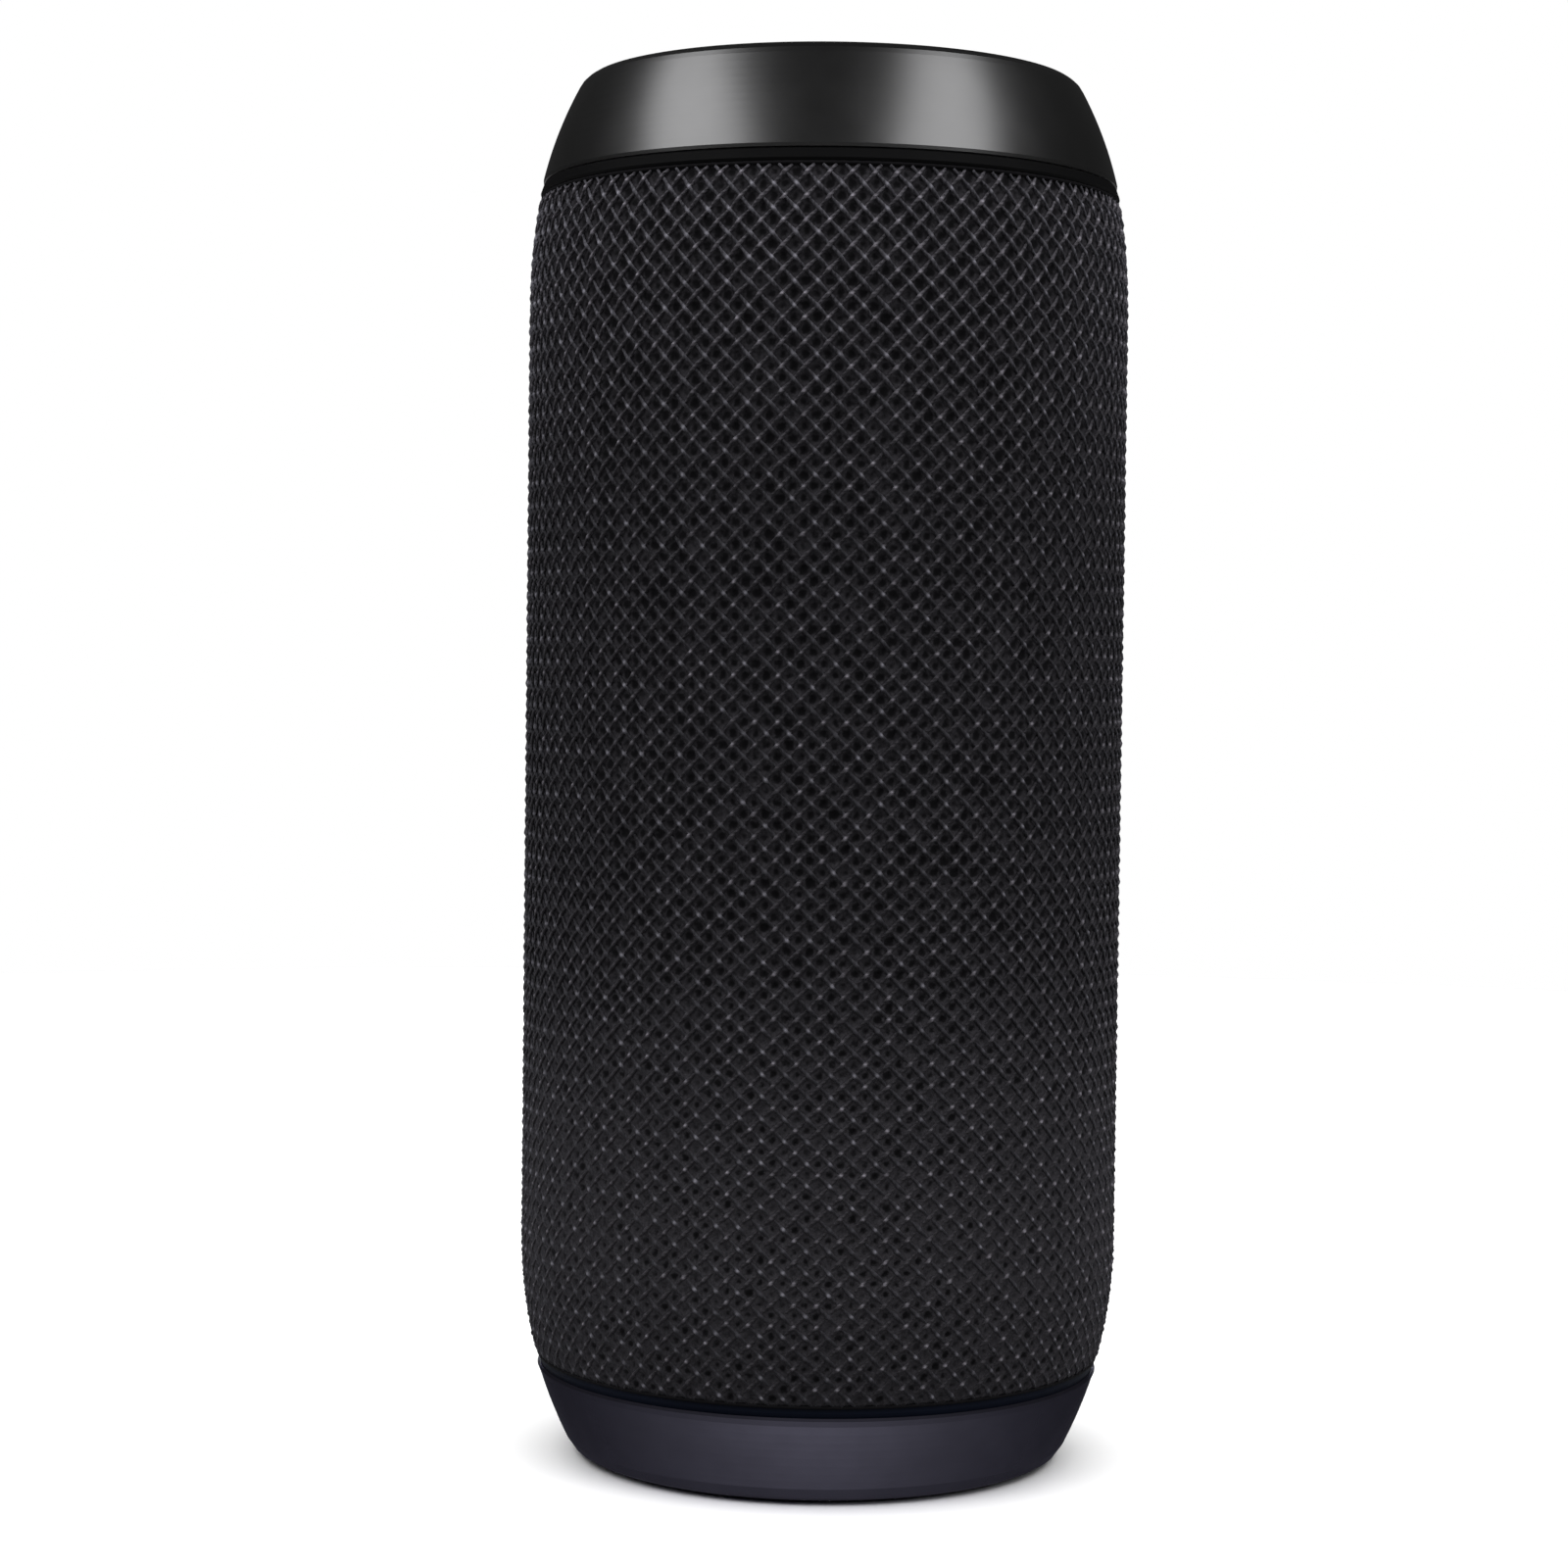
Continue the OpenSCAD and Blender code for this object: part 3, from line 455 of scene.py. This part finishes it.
M = {
    "rubber_black": moulded("rubber_black", (0.019, 0.020, 0.023), 0.62, 0.000012, 3800),
    "base_satin": base_satin(),
    "ring_gloss": ring_gloss(),
    "band_matte": moulded("band_matte", (0.0030, 0.0030, 0.0032), 0.6, 0.000006, 5200, spec=0.06),
    "woven_fabric": sleeve_backing_material(),
    "tube_plastic": moulded("tube_plastic", (0.012, 0.012, 0.013), 0.55, 0.000008),
    "screw_steel": metal("screw_steel", (0.42, 0.42, 0.43), 0.32),
    "panel_plastic": moulded("panel_plastic", (0.017, 0.017, 0.018), 0.42, 0.000018, 4200),
    "button_plastic": moulded("button_plastic", (0.026, 0.026, 0.028), 0.55, 0.00001, 5200),
    "board_green": board_green(),
    "chip_black": moulded("chip_black", (0.015, 0.015, 0.015), 0.45, 0.000006),
    "plated_metal": metal("plated_metal", (0.62, 0.61, 0.58), 0.22),
    "lens_clear": moulded("lens_clear", (0.16, 0.19, 0.22), 0.22, 0.000003),
    "ferrite": moulded("ferrite", (0.028, 0.028, 0.03), 0.7, 0.00003, 1800),
    "spider_cloth": spider_cloth(),
    "cone_black": moulded("cone_black", (0.016, 0.016, 0.016), 0.6, 0.00003, 1500),
    "copper_coil": metal("copper_coil", (0.6, 0.25, 0.1), 0.3, (1, 30, 1)),
    "cell_wrap": moulded("cell_wrap", (0.02, 0.09, 0.3), 0.28, 0.000004),
    "cable_black": moulded("cable_black", (0.015, 0.015, 0.015), 0.5, 0.000008),
    "wire_red": moulded("wire_red", (0.35, 0.02, 0.015), 0.45, 0.000006),
}
band_blue = moulded("band_rubber_blue", (0.0042, 0.0062, 0.0135), 0.6, 0.000006, 5200, spec=0.06)
icon_grey = moulded("icon_print", (0.20, 0.20, 0.205), 0.45, 0.000004)
thread_a = thread_material("woven_thread_a", (1.01, 0.95, 1.09))
thread_b = thread_material("woven_thread_b", (0.98, 0.955, 1.11))
hem_yarn = moulded("hem_yarn", (0.0065, 0.0062, 0.0072), 0.8, 0.00002, 3000, spec=0.08)

for row in frame["record"]["subparts"]:
    ob = NODES[row["node"]]
    ob.data.materials.clear()
    ob.data.materials.append(M[row["material_slot"]])
for name in ("base_seam_band",):
    NODES[name].data.materials.clear()
    NODES[name].data.materials.append(band_blue)


# ---------------------------------------------------------------- the woven sleeve
def port_distance(x, y, z):
    """Distance outside the port's rounded opening, in mm; negative inside it; far away on the front."""
    dx = np.abs(x) - (PORT_W / 2 - PORT_R)
    dz = np.abs(z - PORT_Z) - (PORT_H / 2 - PORT_R)
    d = np.hypot(np.maximum(dx, 0), np.maximum(dz, 0)) + np.minimum(np.maximum(dx, dz), 0) - PORT_R
    return np.where(y > 0, d, 99.0)


def tuck(z):
    """How far the cloth turns in at its two ends, in mm."""
    e = np.minimum(z - Z0, Z1 - z)
    return 0.32 * np.clip(1 - e / 0.9, 0, 1) ** 2


def fulled(z):
    """Share by height: the lower cloth is fuller, so its threads sink in until mostly their crossings show."""
    s = np.clip((0.52 - z / Z1) / 0.32, 0, 1)
    return s * s * (3 - 2 * s)


STEPS = 3  # samples between crossings
ROW_HI = float(weave_row(Z1))
HALF_W, HALF_T = 0.185, 0.15
SIDES = 6


def thread_paths(sign, seed):
    rng = np.random.default_rng(seed)
    rows = np.linspace(0, ROW_HI, int(round(ROW_HI * STEPS)) + 1)
    k = np.arange(N_DIAMONDS)[:, None]
    n = len(rows)
    drift = rng.normal(0, 0.028, (N_DIAMONDS, n))
    drift = (np.roll(drift, 1, 1) + drift + np.roll(drift, -1, 1)) / 1.7
    col = 2 * k + sign * rows[None, :] + drift
    phi = col * np.pi / N_DIAMONDS
    z = np.broadcast_to(weave_z(rows)[None, :], phi.shape)
    over = sign * np.cos(np.pi * rows)[None, :]
    full = fulled(z)
    wide = rng.normal(0.96, 0.09, (N_DIAMONDS, n)) + 0.42 * np.clip(over, 0, 1) ** 2
    lift = rng.normal(0, 0.014, (N_DIAMONDS, n)) + 0.13 * np.sign(over) * np.abs(over) ** (1 + 1.8 * full)
    rad = prof(z) - tuck(z) - 0.375 + lift
    c = np.stack([rad * np.cos(phi), rad * np.sin(phi), z], -1)
    return c, phi, wide


def tubes(name, c, phi, wide, material, body="housing"):
    """Flattened closed tubes along c (threads x samples x 3), cut off inside the port opening."""
    t = np.gradient(c, axis=1)
    t /= np.linalg.norm(t, axis=-1, keepdims=True)
    z = c[..., 2]
    slope = (prof(z + 0.05) - prof(z - 0.05)) / 0.1
    nrm = np.stack([np.cos(phi), np.sin(phi), -slope], -1)
    nrm -= (nrm * t).sum(-1, keepdims=True) * t
    nrm /= np.linalg.norm(nrm, axis=-1, keepdims=True)
    side = np.cross(t, nrm)
    run = np.concatenate([np.zeros((len(c), 1)), np.cumsum(np.linalg.norm(np.diff(c, axis=1), axis=-1), 1)], 1)
    ang = np.arange(SIDES) * 2 * np.pi / SIDES
    ca, sa = np.cos(ang), np.sin(ang)
    rough = np.random.default_rng(len(name)).normal(1, 0.09, (*phi.shape, SIDES))
    ring = (c[:, :, None] + side[:, :, None] * (HALF_W * wide[..., None] * ca * rough)[..., None] + nrm[:, :, None] * (HALF_T * wide[..., None] * sa * rough)[..., None])
    keep = (port_distance(c[..., 0], c[..., 1], z) > 0.18) & (z > Z0 + 0.3) & (z < Z1 - 0.3)
    verts, faces, ends, ply = [], [], [], []
    base = 0
    j = np.arange(SIDES)
    for i in range(len(c)):
        ok = keep[i]
        edges = np.flatnonzero(np.diff(np.concatenate([[0], ok.astype(int), [0]])))
        for a, b in zip(edges[::2], edges[1::2]):
            m = b - a
            if m < 3:
                continue
            verts.append(ring[i, a:b].reshape(-1, 3))
            p = np.zeros((m, SIDES, 3), np.float32)
            p[..., 0] = run[i, a:b, None]
            p[..., 1] = ca
            p[..., 2] = sa
            ply.append(p.reshape(-1, 3))
            s = base + np.arange(m - 1)[:, None] * SIDES
            f = np.stack([s + j, s + (j + 1) % SIDES, s + SIDES + (j + 1) % SIDES, s + SIDES + j], -1)
            faces.append(f.reshape(-1, 4))
            e = base + (m - 1) * SIDES
            ends.append([(base, base + 3, base + 2, base + 1), (base, base + 5, base + 4, base + 3), (e, e + 1, e + 2, e + 3), (e, e + 3, e + 4, e + 5)])
            base += m * SIDES
    ob = make_mesh(name, np.concatenate(verts), [np.concatenate(faces + [np.array(e) for e in ends])])
    attribute = ob.data.attributes.new("ply", "FLOAT_VECTOR", "POINT")
    attribute.data.foreach_set("vector", np.concatenate(ply).ravel())
    ob.data.materials.append(material)
    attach(ob, body)
    return ob


for sign, tag, material in ((1, "rising", thread_a), (-1, "falling", thread_b)):
    c, phi, wide = thread_paths(sign, 11 + sign)
    half = N_DIAMONDS // 2
    for part, sl in (("one", slice(0, half)), ("two", slice(half, None))):
        tubes(f"sleeve_threads_{tag}_{part}", c[sl], phi[sl], wide[sl], material)

# the cloth under the threads: cushioned diamonds with a pit in the middle of each
cols = np.arange(0, 2 * N_DIAMONDS, 0.5)
rws = np.linspace(0, ROW_HI, int(round(ROW_HI * 2)) + 1)
cg, rg = np.meshgrid(cols, rws, indexing="ij")
zg = weave_z(rg)
pit = 0.5 - 0.5 * np.cos(np.pi * cg) * np.cos(np.pi * rg)
full = fulled(zg)
rad = prof(zg) - tuck(zg) - 0.45 + 0.20 * full - 0.38 * pit ** (1 + full)
pg = cg * np.pi / N_DIAMONDS
V = np.stack([rad * np.cos(pg), rad * np.sin(pg), zg], -1)
nc, nr = V.shape[:2]
idx = np.arange(nc * nr).reshape(nc, nr)
q = np.stack([idx[:, :-1], np.roll(idx, -1, 0)[:, :-1], np.roll(idx, -1, 0)[:, 1:], idx[:, 1:]], -1).reshape(-1, 4)
mid = V.reshape(-1, 3)[q].mean(1)
q = q[port_distance(mid[:, 0], mid[:, 1], mid[:, 2]) > -0.35]
used = np.unique(q)
remap = np.full(nc * nr, -1)
remap[used] = np.arange(len(used))
sleeve = make_mesh("sleeve_cloth", V.reshape(-1, 3)[used], [remap[q]])
sleeve.data.materials.append(M["woven_fabric"])
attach(sleeve, "housing")
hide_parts("woven_sleeve")


def end_hem(name, z, step=720):
    """A dark stitched bead that holds the thread ends, where the cloth turns in."""
    phi = np.arange(step) * 2 * np.pi / step
    wob = 0.03 * np.sin(phi * N_DIAMONDS * 2)
    rad = float(prof(z)) - 0.50 + wob
    c = np.stack([rad * np.cos(phi), rad * np.sin(phi), np.full(step, z)], -1)
    n = np.stack([np.cos(phi), np.sin(phi), np.zeros(step)], -1)
    a = np.arange(8) * 2 * np.pi / 8
    ring = c[:, None] + n[:, None] * (0.26 * np.cos(a))[None, :, None] + np.array([0, 0, 1.0]) * (0.24 * np.sin(a))[None, :, None]
    i = np.arange(step)[:, None] * 8
    i2 = ((np.arange(step) + 1) % step)[:, None] * 8
    j = np.arange(8)
    f = np.stack([i + j, i2 + j, i2 + (j + 1) % 8, i + (j + 1) % 8], -1).reshape(-1, 4)
    ob = make_mesh(name, ring.reshape(-1, 3), [f])
    ply = np.zeros((step, 8, 3), np.float32)
    ply[..., 0], ply[..., 1], ply[..., 2] = (phi * rad)[:, None], np.cos(a), np.sin(a)
    ob.data.attributes.new("ply", "FLOAT_VECTOR", "POINT").data.foreach_set("vector", ply.ravel())
    ob.data.materials.append(hem_yarn)
    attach(ob, "housing")
    return ob


ends = [end_hem("sleeve_hem_lower", Z0 + 0.26), end_hem("sleeve_hem_upper", Z1 - 0.26)]


# a bound edge round the port opening
def rounded_path(w, h, r, step=0.5):
    pts = []
    for cx, cz, a0 in ((w / 2 - r, h / 2 - r, 0), (-(w / 2 - r), h / 2 - r, 90), (-(w / 2 - r), -(h / 2 - r), 180), (w / 2 - r, -(h / 2 - r), 270)):
        for a in np.linspace(a0, a0 + 90, 10):
            pts.append((cx + r * math.cos(math.radians(a)), cz + r * math.sin(math.radians(a))))
    pts = np.array(pts + [pts[0]])
    seg = np.linalg.norm(np.diff(pts, axis=0), axis=1)
    s = np.concatenate([[0], np.cumsum(seg)])
    t = np.linspace(0, s[-1], int(s[-1] / step) + 1)[:-1]
    return np.stack([np.interp(t, s, pts[:, 0]), np.interp(t, s, pts[:, 1])], -1)


def hem_round_port():
    p = rounded_path(PORT_W + 0.55, PORT_H + 0.55, PORT_R + 0.27)
    x, z = p[:, 0], p[:, 1] + PORT_Z
    rad = prof(z) - 0.36
    y = np.sqrt(rad**2 - x**2)
    c = np.stack([x, y, z], -1)
    t = np.roll(c, -1, 0) - np.roll(c, 1, 0)
    t /= np.linalg.norm(t, axis=1, keepdims=True)
    n = np.stack([x / rad, y / rad, np.zeros(len(x))], -1)
    n -= (n * t).sum(1, keepdims=True) * t
    n /= np.linalg.norm(n, axis=1, keepdims=True)
    s = np.cross(t, n)
    a = np.arange(10) * 2 * np.pi / 10
    ring = c[:, None] + s[:, None] * (0.27 * np.cos(a))[None, :, None] + n[:, None] * (0.32 * np.sin(a))[None, :, None]
    m = len(c)
    i = np.arange(m)[:, None] * 10
    i2 = ((np.arange(m) + 1) % m)[:, None] * 10
    j = np.arange(10)
    f = np.stack([i + j, i + (j + 1) % 10, i2 + (j + 1) % 10, i2 + j], -1).reshape(-1, 4)
    ob = make_mesh("sleeve_port_hem", ring.reshape(-1, 3), [f])
    run = np.concatenate([[0], np.cumsum(np.linalg.norm(np.diff(c, axis=0), axis=1))])
    ply = np.zeros((m, 10, 3), np.float32)
    ply[..., 0], ply[..., 1], ply[..., 2] = run[:, None], np.cos(a), np.sin(a)
    ob.data.attributes.new("ply", "FLOAT_VECTOR", "POINT").data.foreach_set("vector", ply.ravel())
    ob.data.materials.append(thread_a)
    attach(ob, "housing")
    return ob


hem = hem_round_port()


# ---------------------------------------------------------------- raised marks on the buttons
def plate(name, outlines, z, thick, at, body, material, bevel=0.05):
    """Flat raised marks from closed outlines in mm, whose top is at z, centred on at."""
    bm = bmesh.new()
    for outline in outlines:
        vs = [bm.verts.new(((at[0] + x) * MM, (at[1] + y) * MM, (z - thick) * MM)) for x, y in outline]
        face = bm.faces.new(vs)
        up = bmesh.ops.extrude_face_region(bm, geom=[face])
        top = [g for g in up["geom"] if isinstance(g, bmesh.types.BMVert)]
        bmesh.ops.translate(bm, verts=top, vec=(0, 0, thick * MM))
        tops = set(top)
        rim = [e for e in bm.edges if e.verts[0] in tops and e.verts[1] in tops]
        bmesh.ops.bevel(bm, geom=rim, offset=bevel * MM, segments=2, affect="EDGES", profile=0.6)
    ob = from_bmesh(name, bm)
    ob.data.materials.append(material)
    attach(ob, body)
    return ob


def bar(w, h, x=0, y=0):
    return [(x - w / 2, y - h / 2), (x + w / 2, y - h / 2), (x + w / 2, y + h / 2), (x - w / 2, y + h / 2)]


def cross_mark(s, w):
    a, b = s / 2, w / 2
    return [(-b, -a), (b, -a), (b, -b), (a, -b), (a, b), (b, b), (b, a), (-b, a), (-b, b), (-a, b), (-a, -b), (-b, -b)]


def arc_band(r0, r1, a0, a1, n=40):
    a = np.radians(np.linspace(a0, a1, n))
    return [(r1 * math.cos(t), r1 * math.sin(t)) for t in a] + [(r0 * math.cos(t), r0 * math.sin(t)) for t in a[::-1]]


def centre(node):
    lo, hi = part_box(node)
    return (lo.x + hi.x) / 2 / MM, (lo.y + hi.y) / 2 / MM, hi.z / MM


marks = {
    "play_button": ("play_key", [[(-3.0, -1.75), (-0.1, 0.0), (-3.0, 1.75)], bar(0.75, 3.4, 1.1), bar(0.75, 3.4, 2.7)]),
    "volume_up_button": ("volume_up_key", [cross_mark(4.2, 0.75)]),
    "volume_down_button": ("volume_down_key", [bar(4.2, 0.75)]),
    "power_button": ("power_key", [arc_band(1.55, 2.15, 120, 420), bar(0.6, 2.0, 0, 1.35)]),
    "mode_button": ("mode_key", [arc_band(1.5, 2.1, 20, 160), arc_band(1.5, 2.1, 200, 340), bar(1.2, 0.6, 0, 0)]),
}
for node, (body, outlines) in marks.items():
    x, y, z = centre(node)
    plate(f"{node}_mark", outlines, z + 0.06, 0.3, (x, y), body, icon_grey)


# ---------------------------------------------------------------- port cover: finger ridges, and the strap
def ridge(name, x0, x1, z, proud=0.22, half=0.28):
    """A rounded bar that follows the barrel, from x0 to x1 at height z."""
    xs = np.linspace(x0, x1, 25)
    a = np.linspace(0, np.pi, 7)
    taper = np.clip(np.minimum(xs - x0, x1 - xs) / 0.5, 0.05, 1) ** 0.5
    rows = []
    for x, k in zip(xs, taper):
        y = math.sqrt((R - 0.02) ** 2 - x * x)
        n = np.array([x / R, y / R, 0])
        top = [np.array([x, y, z]) + n * (proud * k * math.sin(t)) + np.array([0, 0, half * k * math.cos(t)]) for t in a]
        low = [np.array([x, y, z]) - n * 0.3 + np.array([0, 0, -half * k]), np.array([x, y, z]) - n * 0.3 + np.array([0, 0, half * k])]
        rows.append(top + low)
    m = len(rows[0])
    v = np.array(rows).reshape(-1, 3)
    i = np.arange(len(xs) - 1)[:, None] * m
    j = np.arange(m)
    f = np.stack([i + j, i + (j + 1) % m, i + m + (j + 1) % m, i + m + j], -1).reshape(-1, 4)
    e = (len(xs) - 1) * m
    ob = make_mesh(name, v, [f, [tuple(range(m - 1, -1, -1)), tuple(range(e, e + m))]], sharp_deg=50)
    bm = bmesh.new()
    bm.from_mesh(ob.data)
    bmesh.ops.recalc_face_normals(bm, faces=bm.faces)
    bm.to_mesh(ob.data)
    bm.free()
    ob.data.materials.append(M["rubber_black"])
    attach(ob, "port_flap")
    return ob


top_of_cover = cover_hi.z / MM
for i in range(3):
    ridge(f"port_cover_ridge_{i + 1}", -4.5, 4.5, top_of_cover - 1.1 - 0.95 * i)


def strap():
    x0, x1 = strap_lo.x / MM, strap_hi.x / MM
    y0, y1 = strap_lo.y / MM, strap_hi.y / MM
    z0, z1 = strap_lo.z / MM, strap_hi.z / MM + 0.5
    xs = np.linspace(x0, x1, 9)
    zs = np.linspace(z0, z1, 15)
    rows = []
    for z in zs:
        pinch = 0.08 * math.sin(math.pi * (z - z0) / (z1 - z0))
        loop = [(x, y0 + pinch) for x in xs] + [(x, y1 - pinch) for x in xs[::-1]]
        rows.append([(x, y, z) for x, y in loop])
    m = len(rows[0])
    v = np.array(rows).reshape(-1, 3)
    i = np.arange(len(zs) - 1)[:, None] * m
    j = np.arange(m)
    f = np.stack([i + j, i + (j + 1) % m, i + m + (j + 1) % m, i + m + j], -1).reshape(-1, 4)
    e = (len(zs) - 1) * m
    ob = make_mesh("port_cover_strap_flex", v, [f, [tuple(range(m - 1, -1, -1)), tuple(range(e, e + m))]], sharp_deg=50)
    ob.data.materials.append(M["rubber_black"])
    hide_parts("port_cover_strap")
    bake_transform(ob)
    return ob


strap()

# ---------------------------------------------------------------- stage
floor_mat = Tree("floor_paper")
paper = floor_mat.mix(floor_mat.spread(floor_mat.noise(3, 3), 0, 1), (0.80, 0.80, 0.80), (0.83, 0.83, 0.83))
light_path = floor_mat.t.nodes.new("ShaderNodeLightPath")
floor_mat.color(floor_mat.mix(light_path.outputs["Is Camera Ray"], (0.22, 0.22, 0.22), paper))
floor_mat.set(rough=0.9, spec=0.1)
bpy.ops.mesh.primitive_circle_add(vertices=128, radius=0.66, fill_type="NGON", location=(0, 0, 0))
floor = bpy.context.object
floor.name = "floor"
floor.data.materials.append(floor_mat.m)
floor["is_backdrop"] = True


def area(name, azimuth, elevation, dist, w, h, power, target=(0, 0, 0.09), lean=0, slide=0):
    d = bpy.data.lights.new(name, "AREA")
    d.shape = "RECTANGLE"
    d.size, d.size_y = w, h
    d.energy = power
    ob = bpy.data.objects.new(name, d)
    scene.collection.objects.link(ob)
    az, el = math.radians(azimuth), math.radians(elevation)
    off = Vector((math.sin(az) * math.cos(el), -math.cos(az) * math.cos(el), math.sin(el))) * dist
    ob.location = Vector(target) + off + Vector((math.cos(az), math.sin(az), 0)) * slide
    ob.rotation_euler = (off.to_track_quat("Z", "Y").to_matrix() @ Matrix.Rotation(math.radians(lean), 3, "Z")).to_euler()
    return ob


wall_left = area("wall_left", -60, 0, 1.0, 0.78, 2.3, 12.4, (0, 0, 1.45), lean=36, slide=-0.42)
wall_right = area("wall_right", 58, 0, 1.0, 0.78, 2.3, 11.9, (0, 0, 1.45), lean=-28, slide=0.15)
overhead = area("overhead", 0, 90, 1.6, 2.8, 2.8, 92)
overhead.visible_glossy = False
# a low strip light in front, flagged off everything but the base ring
low_strip = area("low_strip", -2, 0, 1.3, 1.05, 0.2, 106, (0, 0, 0.105))
only_base = bpy.data.collections.new("lit_by_low_strip")
only_base.objects.link(NODES["base_ring"])
low_strip.light_linking.receiver_collection = only_base
low_strip_rear = area("low_strip_rear", 180, 0, 1.3, 1.05, 0.2, 45, (0, 0, 0.105))
low_strip_rear.light_linking.receiver_collection = only_base
# and the wall lights are flagged off the base ring
not_base = bpy.data.collections.new("not_lit_by_walls")
not_base.objects.link(NODES["base_ring"])
not_base.collection_objects[0].light_linking.link_state = "EXCLUDE"
wall_left.light_linking.receiver_collection = not_base
wall_right.light_linking.receiver_collection = not_base
# a weak fill behind, so the back isn't lost
rear_fill = area("rear_fill", 180, 8, 1.4, 1.3, 1.0, 5.5)
rear_fill.visible_glossy = False

world = bpy.data.worlds.new("studio")
scene.world = world
world.use_nodes = True
wt = world.node_tree
bg = wt.nodes["Background"]
bg.inputs["Color"].default_value = (1, 1, 1, 1)
bg.inputs["Strength"].default_value = 0.030
seen = wt.nodes.new("ShaderNodeBackground")
seen.inputs["Color"].default_value = (1, 1, 1, 1)
seen.inputs["Strength"].default_value = 1.0
path = wt.nodes.new("ShaderNodeLightPath")
mixer = wt.nodes.new("ShaderNodeMixShader")
wt.links.new(path.outputs["Is Camera Ray"], mixer.inputs[0])
wt.links.new(bg.outputs[0], mixer.inputs[1])
wt.links.new(seen.outputs[0], mixer.inputs[2])
wt.links.new(mixer.outputs[0], wt.nodes["World Output"].inputs["Surface"])
